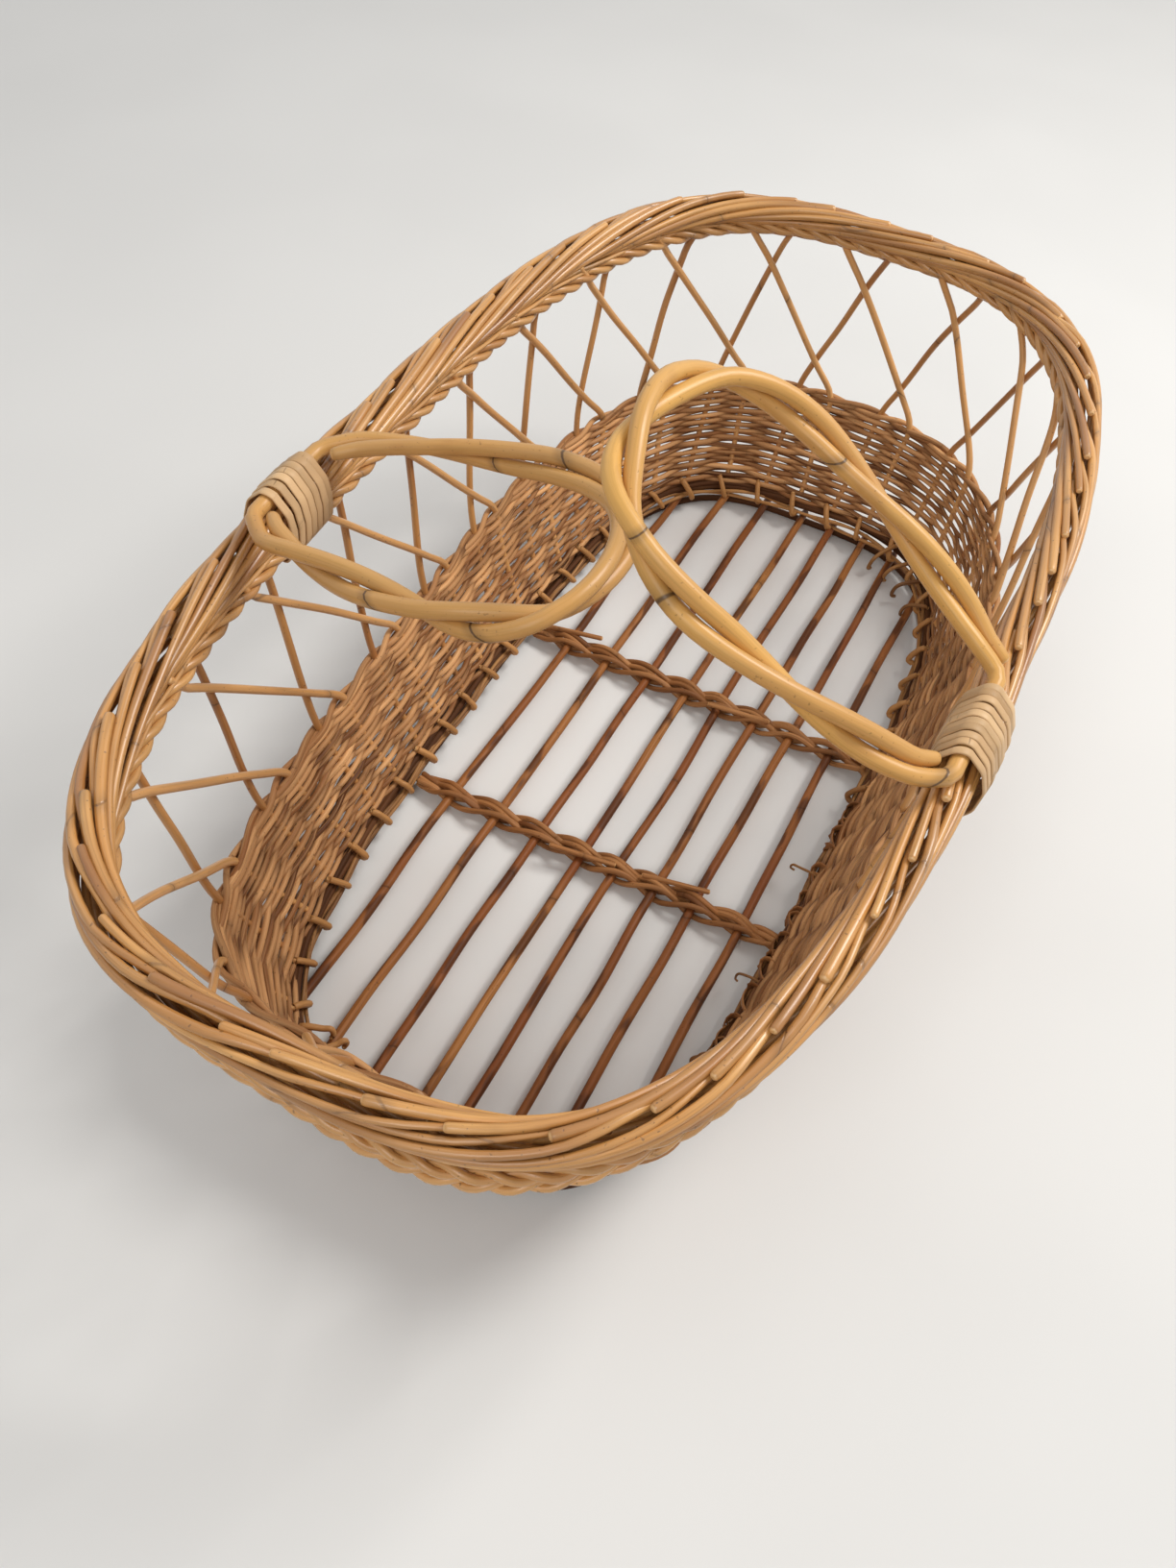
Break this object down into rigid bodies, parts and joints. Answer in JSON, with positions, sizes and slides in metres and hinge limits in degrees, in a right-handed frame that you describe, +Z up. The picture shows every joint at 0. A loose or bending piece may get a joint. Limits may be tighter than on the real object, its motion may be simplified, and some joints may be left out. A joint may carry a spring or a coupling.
{
  "type": "rattan bassinet",
  "caption": "Oval rattan baby basket with a slatted base, low woven wall, open lattice of crossed stakes, thick rolled rim and looped side handles that swing in bindings.",
  "frame": {"origin": "middle of the bounding box at the height of the surface that the base hoop stands on", "axes": "+X from the foot end to the head end, +Y towards the basket's left side, +Z up"},
  "size_m": [0.78, 0.4298, 0.3832],
  "materials": {
    "dark_cane": "dull dark brown peeled cane",
    "slat": "reddish brown cane, satin",
    "weave": "thin woven cane, matt",
    "stake": "tan cane, satin",
    "border": "honey cane, satin",
    "pole": "golden pole with its skin on, satin sheen",
    "strip": "flat peeled strip, pale straw, matt"
  },
  "bodies": {
    "basket": {"base_hoop_lower": "dark_cane", "base_hoop_upper": "dark_cane", "base_hoop_inner": "dark_cane", "base_slat_1": "slat", "base_slat_2": "slat", "base_slat_3": "slat", "base_slat_4": "slat", "base_slat_5": "slat", "base_slat_6": "slat", "base_slat_7": "slat", "base_slat_8": "slat", "cross_cane_foot_a": "dark_cane", "cross_cane_foot_b": "dark_cane", "cross_cane_foot_c": "dark_cane", "cross_cane_foot_d": "dark_cane", "cross_cane_head_a": "dark_cane", "cross_cane_head_b": "dark_cane", "cross_cane_head_c": "dark_cane", "cross_cane_head_d": "dark_cane", "woven_wall": "weave", "stake_pair_01": "stake", "stake_pair_02": "stake", "stake_pair_03": "stake", "stake_pair_04": "stake", "stake_pair_05": "stake", "stake_pair_06": "stake", "stake_pair_07": "stake", "stake_pair_08": "stake", "stake_pair_09": "stake", "stake_pair_10": "stake", "stake_pair_11": "stake", "stake_pair_12": "stake", "stake_pair_13": "stake", "stake_pair_14": "stake", "stake_pair_15": "stake", "stake_pair_16": "stake", "stake_pair_17": "stake", "stake_pair_18": "stake", "stake_pair_19": "stake", "stake_pair_20": "stake", "stake_pair_21": "stake", "stake_pair_22": "stake", "stake_pair_23": "stake", "stake_pair_24": "stake", "stake_pair_25": "stake", "stake_pair_26": "stake", "rim_band": "weave", "rim_border": "border", "binding_left": "strip", "binding_right": "strip"},
    "handle_left": {"handle_left_pole_a": "pole", "handle_left_pole_b": "pole"},
    "handle_right": {"handle_right_pole_a": "pole", "handle_right_pole_b": "pole"}
  },
  "joints": [
    {"name": "handle_left_swing", "type": "hinge", "parent": "basket", "child": "handle_left", "pos_m": [-0.08895, 0.19695, 0.26208], "axis": [-0.9996, -0.0291, 0], "range_deg": [0, 150]},
    {"name": "handle_right_swing", "type": "hinge", "parent": "basket", "child": "handle_right", "pos_m": [-0.06509, -0.19747, 0.26208], "axis": [0.9999, -0.0154, 0], "range_deg": [0, 130]}
  ]
}
